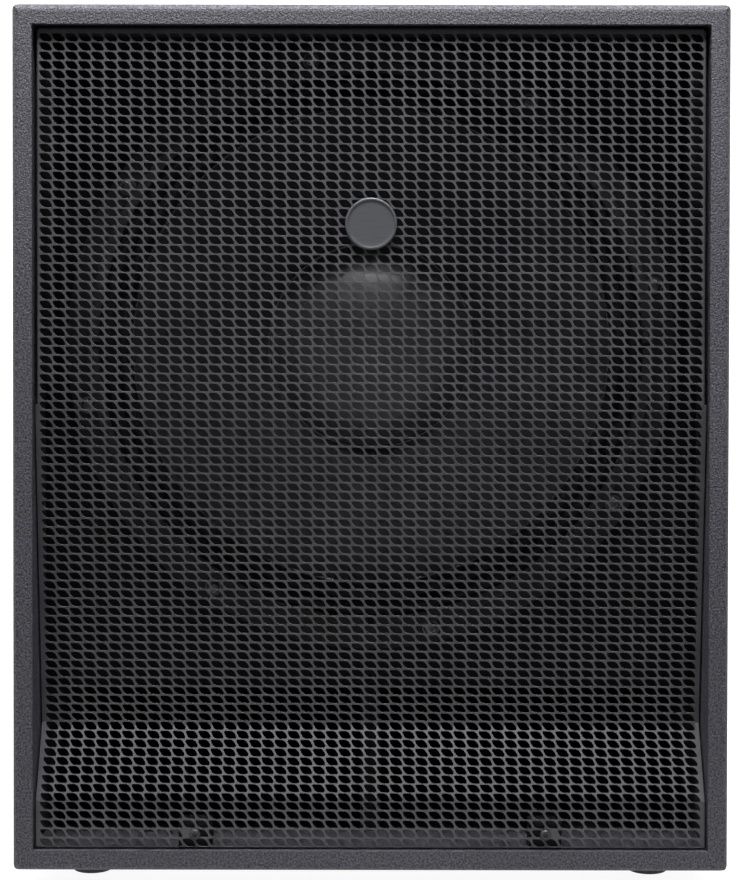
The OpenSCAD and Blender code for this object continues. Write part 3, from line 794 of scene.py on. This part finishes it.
def pressed_dish(steps_front, thickness, n=8):
    """Closed pressing: the front skin out to the rim and the back skin behind it.
    Each step is (width, height, corner radius, depth)."""
    fr = rect_rings(steps_front, n)
    bk = rect_rings([(w + (2 * thickness if i else 0), h + (2 * thickness if i else 0),
                      r + (thickness if i else 0), d - thickness)
                     for i, (w, h, r, d) in enumerate(steps_front)], n)
    verts, faces = loft(list(reversed(fr)) + bk, cap=True)
    return verts, faces


def side_place(s):
    """Stands a shape drawn in (along Y, up, outwards) on the side s."""
    return lambda p: Vector((s * (HALF_W + p.z), p.x, HZ + p.y))


def dish_steps(w, h, r, depth, flange, fr, draft=0.0, floor_r=8 * MM, lip=3.5 * MM):
    """Front skin of a dish, from the flange's outer edge to its floor."""
    fw_, fh_, frr = flange
    steps = [(fw_, fh_, frr, -0.9 * MM), (fw_ - 0.3 * MM, fh_ - 0.3 * MM, frr, -0.25 * MM),
             (fw_ - 1.4 * MM, fh_ - 1.4 * MM, frr - 0.7 * MM, 0.0)]
    for i in range(6):
        a = math.radians(90 * i / 5)
        grow = 2 * lip * (1 - math.sin(a))
        steps.append((w + grow, h + grow, r + grow / 2, -lip * (1 - math.cos(a))))
    steps.append((w - draft, h - draft, r, -depth + floor_r))
    for i in range(1, 6):
        a = math.radians(90 * i / 5)
        cut = 2 * floor_r * (1 - math.cos(a)) + draft
        steps.append((w - cut, h - cut, max(r - cut / 2, 2 * MM), -depth + floor_r * (1 - math.sin(a))))
    return steps


for s, side in ((-1, "left"), (1, "right")):
    dish = Shape()
    place = side_place(s)
    steps = dish_steps(181 * MM, 89 * MM, 14.5 * MM, 60.5 * MM,
                       (216 * MM, 124 * MM, 12 * MM), 12 * MM)
    dish.add(*pressed_dish(steps, 1.4 * MM), place)
    dish.make(f"{side}_handle_pan", "black_steel", f"{side}_handle_dish")
    # bar with forged end collars
    bar = Shape()
    half = 90.4 * MM
    prof = [(0.00005, -half), (11 * MM, -half), (11 * MM, -half + 2.2 * MM),
            (8.6 * MM, -half + 3.4 * MM), (8 * MM, -half + 5 * MM)]
    prof += [(r, -z) for r, z in reversed(prof[1:])] + [(0.00005, half)]
    along = lambda p, s=s: Vector((s * (HALF_W - 16 * MM + p.x), p.z, HZ + p.y))
    bar.add(*lathe(prof, 48), along)
    bar.make(f"{side}_handle_rod", "black_steel", f"{side}_handle_bar")
    grip = Shape()
    length, ribs = 120 * MM, 26
    outer = []
    for i in range(ribs * 4 + 1):
        z = -length / 2 + 2 * MM + (length - 4 * MM) * i / (ribs * 4)
        outer.append(((12.4 + 0.45 * math.cos(TAU * i / 4)) * MM, z))
    prof = [(8.05 * MM, -length / 2), (11.2 * MM, -length / 2), (12.2 * MM, -length / 2 + 0.8 * MM)]
    prof += outer + [(12.2 * MM, length / 2 - 0.8 * MM), (11.2 * MM, length / 2),
                     (8.05 * MM, length / 2)]
    grip.add(*lathe(prof, 48), along)
    grip.make(f"{side}_handle_sleeve", "rubber", f"{side}_handle_grip", angle=50)


def countersunk(shape, place, r, shank_r, length):
    """Flush head with a six-lobe recess, its top at z = 0, and a threaded shank."""
    n = 48
    rings = [[(q * math.cos(TAU * k / n), q * math.sin(TAU * k / n), z) for k in range(n)]
             for q, z in ((shank_r, -r * 0.8), (r, -0.15 * MM), (r * 0.96, 0), (r * 0.6, 0.02 * MM))]
    for z in (0.02 * MM, -r * 0.45):
        rings.append([((0.46 * r * (1 + 0.16 * math.cos(6 * TAU * k / n))) * math.cos(TAU * k / n),
                       (0.46 * r * (1 + 0.16 * math.cos(6 * TAU * k / n))) * math.sin(TAU * k / n), z)
                      for k in range(n)])
    shape.add(*loft(rings), place)
    shank(shape, lambda p: place(p - Vector((0, 0, r * 0.8))), shank_r, length - r * 0.8, 1.2 * MM)


hs = Shape()
for s in (-1, 1):
    for y in (-99, 99):
        for z in (-50, 50):
            place = facing((s * (HALF_W - 0.02 * MM), y * MM, HZ + z * MM), (s, 0, 0))
            countersunk(hs, place, 3.7 * MM, 1.7 * MM, 13 * MM)
hs.make("handle_screw_set", "zinc_steel", "handle_screws")


# ----------------------------------------------------------- pole socket

p_lo, p_hi = box("pole_cup")
PX, PY, PZ = (p_lo.x + p_hi.x) / 2, (p_lo.y + p_hi.y) / 2, p_hi.z
bore = 17.7 * MM
cup = Shape()
prof = [(0.00005, -80 * MM), (bore - 1.5 * MM, -80 * MM), (bore, -78.5 * MM), (bore, -2 * MM)]
prof += fillet(bore + 2 * MM, -2 * MM, 2 * MM, 180, 90, 5)
prof += [(27 * MM, 0), (28 * MM, -0.6 * MM), (45 * MM, -0.6 * MM)]
prof += fillet(46.2 * MM, -1.8 * MM, 1.8 * MM, 90, 0, 5)
prof += [(48 * MM, -2.5 * MM), (20.5 * MM, -2.5 * MM), (20.5 * MM, -81.5 * MM),
         (19 * MM, -83 * MM), (0.00005, -83 * MM)]
cup.add(*lathe(prof, 96), lambda p: Vector((PX + p.x, PY + p.y, PZ + p.z)))
cup.make("pole_socket_cup", "black_steel", "pole_cup")
ps = Shape()
for k in range(4):
    a = math.radians(45 + 90 * k)
    place = facing((PX + 38 * MM * math.cos(a), PY + 38 * MM * math.sin(a), PZ - 0.55 * MM), (0, 0, 1))
    countersunk(ps, place, 4 * MM, 1.9 * MM, 12 * MM)
ps.make("pole_screw_set", "zinc_steel", "pole_cup_screws")


# ------------------------------------------------------- rear connectors

c_lo, c_hi = box("connector_dish")
CX, CZ, CY = (c_lo.x + c_hi.x) / 2, (c_lo.z + c_hi.z) / 2, c_hi.y


def rear_place(p):
    """Stands a shape drawn in (across, up, outwards) on the back."""
    return Vector((CX - p.x, CY + p.z, CZ + p.y))


dish = Shape()
steps = dish_steps(148 * MM, 88 * MM, 6.5 * MM, 24 * MM, (186 * MM, 126 * MM, 8 * MM), 8 * MM,
                   floor_r=4 * MM, lip=2.5 * MM)
dish.add(*pressed_dish(steps, 1.4 * MM), rear_place)
dish.make("connector_pan", "black_steel", "connector_dish")

FLOOR = -24 * MM
ss, cores = Shape(), Shape()
for x, name, node_name in ((32, "input_jack", "input_socket"), (-32, "link_jack", "link_socket")):
    jack = Shape()
    at = lambda p, x=x: rear_place(Vector((p.x + x * MM, p.y, p.z + FLOOR)))
    # moulded flange with a raised collar, whose rings go through the flange's corner
    # points only, so that the collar is a rounded square
    rings = rect_rings([(32 * MM, 32 * MM, 3 * MM, 0.03 * MM), (32 * MM, 32 * MM, 3 * MM, 1.4 * MM),
                        (31 * MM, 31 * MM, 2.5 * MM, 2 * MM)], 11)
    n = len(rings[0])
    for r, z in ((13.2, 2.0), (12.9, 3.6), (12.3, 4.0), (11.5, 3.7), (11.2, 3.2), (11.2, -26)):
        ring = []
        for qx, qy, _ in rings[0]:
            length = math.hypot(qx, qy)
            ring.append((qx / length * r * MM, qy / length * r * MM, z * MM))
        rings.append(ring)
    jack.add(*loft(rings), at)
    prof = [(0.00005, -30 * MM), (13 * MM, -30 * MM), (13 * MM, 0), (11.4 * MM, 0),
            (11.4 * MM, -26 * MM), (0.00005, -26 * MM)]
    jack.add(*lathe(prof, 64), at)
    for k in range(2):
        a = math.radians(90 + 180 * k)
        v, f = loft(rect_rings([(3.4 * MM, 1.4 * MM, 0.3 * MM, -22 * MM),
                                (3.4 * MM, 1.4 * MM, 0.3 * MM, 2.6 * MM)], 3))
        turn = lambda p, a=a: Vector((p.x * math.sin(a) + (p.y + 10.6 * MM) * math.cos(a),
                                      -p.x * math.cos(a) + (p.y + 10.6 * MM) * math.sin(a), p.z))
        jack.add(v, f, lambda p, turn=turn, at=at: at(turn(p)))
    jack.make(name, "socket_plastic", node_name)
    prof = [(0.00005, -26 * MM), (6 * MM, -26 * MM), (6 * MM, -1.6 * MM), (5.6 * MM, -1.1 * MM),
            (3.9 * MM, -1.1 * MM), (3.5 * MM, -1.6 * MM), (3.5 * MM, -23.8 * MM),
            (0.00005, -24 * MM)]
    cores.add(*lathe(prof, 48), at)
    for sx in (-1, 1):
        place = facing(at(Vector((sx * 12 * MM, -sx * 12 * MM, 2 * MM))), (0, 1, 0))
        screw_head(ss, place, 2.2 * MM, 1.2 * MM)
        shank(ss, place, 1.3 * MM, 8 * MM, 0.6 * MM)
cores.make("socket_core_pair", "core_plastic", "socket_cores")
ss.make("socket_screw_set", "zinc_steel", "socket_screws")

ds = Shape()
for x in (-83, 0, 83):
    for z in (-54, 54):
        place = facing(rear_place(Vector((x * MM, z * MM, -0.05 * MM))), (0, 1, 0))
        countersunk(ds, place, 3.7 * MM, 1.7 * MM, 12.7 * MM)
ds.make("dish_screw_set", "zinc_steel", "dish_screws")


# ---------------------------------------------------------- soft padding

def wadding(name, seed):
    """Fluffy pad of the CAD block's size, its faces softly quilted by the fibre."""
    lo, hi = box(name)
    rng = np.random.default_rng(seed)
    size = hi - lo
    bm = bmesh.new()
    bmesh.ops.create_cube(bm, size=1.0)
    for v in bm.verts:
        v.co = Vector((v.co.x * size.x, v.co.y * size.y, v.co.z * size.z)) + (lo + hi) / 2
    cell = 20 * MM
    for axis in range(3):
        count = max(1, int(size[axis] / cell))
        for i in range(1, count):
            co = lo.copy()
            co[axis] = lo[axis] + size[axis] * i / count
            no = Vector((0, 0, 0))
            no[axis] = 1
            bmesh.ops.bisect_plane(bm, geom=bm.verts[:] + bm.edges[:] + bm.faces[:],
                                   plane_co=co, plane_no=no)
    mid = (lo + hi) / 2
    phase = rng.uniform(0, TAU, (3, 4))
    for v in bm.verts:
        d = v.co - mid
        pull = 0.0
        for i in range(4):
            k = 60.0 * (i + 1)
            across = math.sin(k * v.co.x + phase[0, i]) * math.sin(k * v.co.y + phase[1, i])
            along_z = math.sin(k * v.co.z + phase[2, i])
            pull += (across * along_z + 0.3 * math.sin(k * v.co.z + phase[1, i])) / (i + 1)
        inward = min(max(0.5 + 0.4 * pull, 0.0), 1.0) * 2.2 * MM
        corner = sum(abs(d[a]) > size[a] / 2 - 1e-5 for a in range(3))
        inward += (corner - 1) * 2.0 * MM
        for a in range(3):
            if abs(d[a]) > size[a] / 2 - 1e-5:
                v.co[a] -= math.copysign(inward, d[a])
    mesh = bpy.data.meshes.new(name + "_pad")
    bm.to_mesh(mesh)
    bm.free()
    mesh.shade_smooth()
    mesh.materials.append(MAT["wadding"])
    obj = bpy.data.objects.new(name + "_pad", mesh)
    bpy.context.scene.collection.objects.link(obj)
    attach(obj, "cabinet")
    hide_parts(name)
    return obj


for seed, name in enumerate(("back_wadding", "left_wadding", "right_wadding", "top_wadding")):
    wadding(name, seed)


# ----------------------------------------------------------------- stage

floor_mat = finish_material("studio_floor", (0.16, 0.16, 0.16), (0.18, 0.18, 0.18), (0.6, 0.7),
                            grain=30, depth=0.0001, strength=0.05)
# the sweep is lit from beneath, in full from the cabinet backwards and about a third
# as much in front of it
tree = floor_mat.node_tree
glow = tree.nodes["Principled BSDF"].inputs
glow["Emission Color"].default_value = (1, 1, 1, 1)
split = tree.nodes.new("ShaderNodeSeparateXYZ")
tree.links.new(object_space(tree), split.inputs["Vector"])
fade = tree.nodes.new("ShaderNodeMapRange")
fade.interpolation_type = "SMOOTHSTEP"
for socket, value in (("From Min", -0.7), ("From Max", -0.27), ("To Min", 0.30), ("To Max", 0.93)):
    fade.inputs[socket].default_value = value
tree.links.new(split.outputs["Y"], fade.inputs["Value"])
tree.links.new(fade.outputs["Result"], glow["Emission Strength"])
# a floor that curves up into the wall behind, seen from the side as (y, z)
REACH, SWEEP_START, SWEEP_R, WALL_TOP = 40.0, 3.0, 2.0, 12.0
curve_pts = [(-REACH, 0.0)]
curve_pts += fillet(SWEEP_START, SWEEP_R, SWEEP_R, -90, 0, 24)
curve_pts += [(SWEEP_START + SWEEP_R, WALL_TOP)]
verts = [(x, y, z) for y, z in curve_pts for x in (-REACH, REACH)]
faces = [(2 * i, 2 * i + 1, 2 * i + 3, 2 * i + 2) for i in range(len(curve_pts) - 1)]
mesh = bpy.data.meshes.new("floor")
mesh.from_pydata(verts, [], faces)
mesh.shade_smooth()
mesh.materials.append(floor_mat)
floor = bpy.data.objects.new("floor", mesh)
bpy.context.scene.collection.objects.link(floor)


def area_light(name, place, target, size, power, spread=180):
    data = bpy.data.lights.new(name, "AREA")
    data.shape = "RECTANGLE"
    data.size, data.size_y = size
    data.energy = power
    data.spread = math.radians(spread)
    obj = bpy.data.objects.new(name, data)
    obj.location = place
    obj.rotation_euler = (Vector(target) - Vector(place)).to_track_quat("-Z", "Y").to_euler()
    bpy.context.scene.collection.objects.link(obj)
    return obj


area_light("key", (-0.05, -0.75, 1.80), (0, -0.05, 0.65), (1.3, 0.45), 18, 62)
area_light("left_fill", (-2.9, 0.9, 1.8), (0, 0.1, 0.3), (1.8, 2.0), 26)
area_light("right_fill", (2.9, 0.9, 1.8), (0, 0.1, 0.3), (1.8, 2.0), 26)
area_light("back_fill", (0.6, 3.2, 2.3), (0, 0.2, 0.3), (2.4, 1.6), 30)
area_light("backdrop_light", (0, 2.4, 3.4), (0, 5.0, 1.0), (6.0, 1.5), 500)

world = bpy.data.worlds.new("studio")
world.use_nodes = True
world.node_tree.nodes["Background"].inputs["Color"].default_value = (1, 1, 1, 1)
world.node_tree.nodes["Background"].inputs["Strength"].default_value = 0.05
bpy.context.scene.world = world
bpy.context.scene.view_settings.view_transform = "Standard"

# camera: 36 mm along the picture's long side of 880
FRAME_LONG = 880
FOCAL = 1918.3
DISTANCE = 1.40
cam_data = bpy.data.cameras.new("camera")
cam_data.sensor_fit = "AUTO"
cam_data.sensor_width = 36.0
cam_data.lens = 36.0 * FOCAL / FRAME_LONG
cam_data.clip_start, cam_data.clip_end = 0.05, 50
cam_data.shift_y = -0.073
cam = bpy.data.objects.new("camera", cam_data)
cam.location = (0.0002, cad_box[0][1] - DISTANCE, 0.400)
cam.rotation_mode = "XYZ"
cam.rotation_euler = (math.pi / 2 - 0.0172, -0.0016, 0.0009)
bpy.context.scene.collection.objects.link(cam)
bpy.context.scene.camera = cam
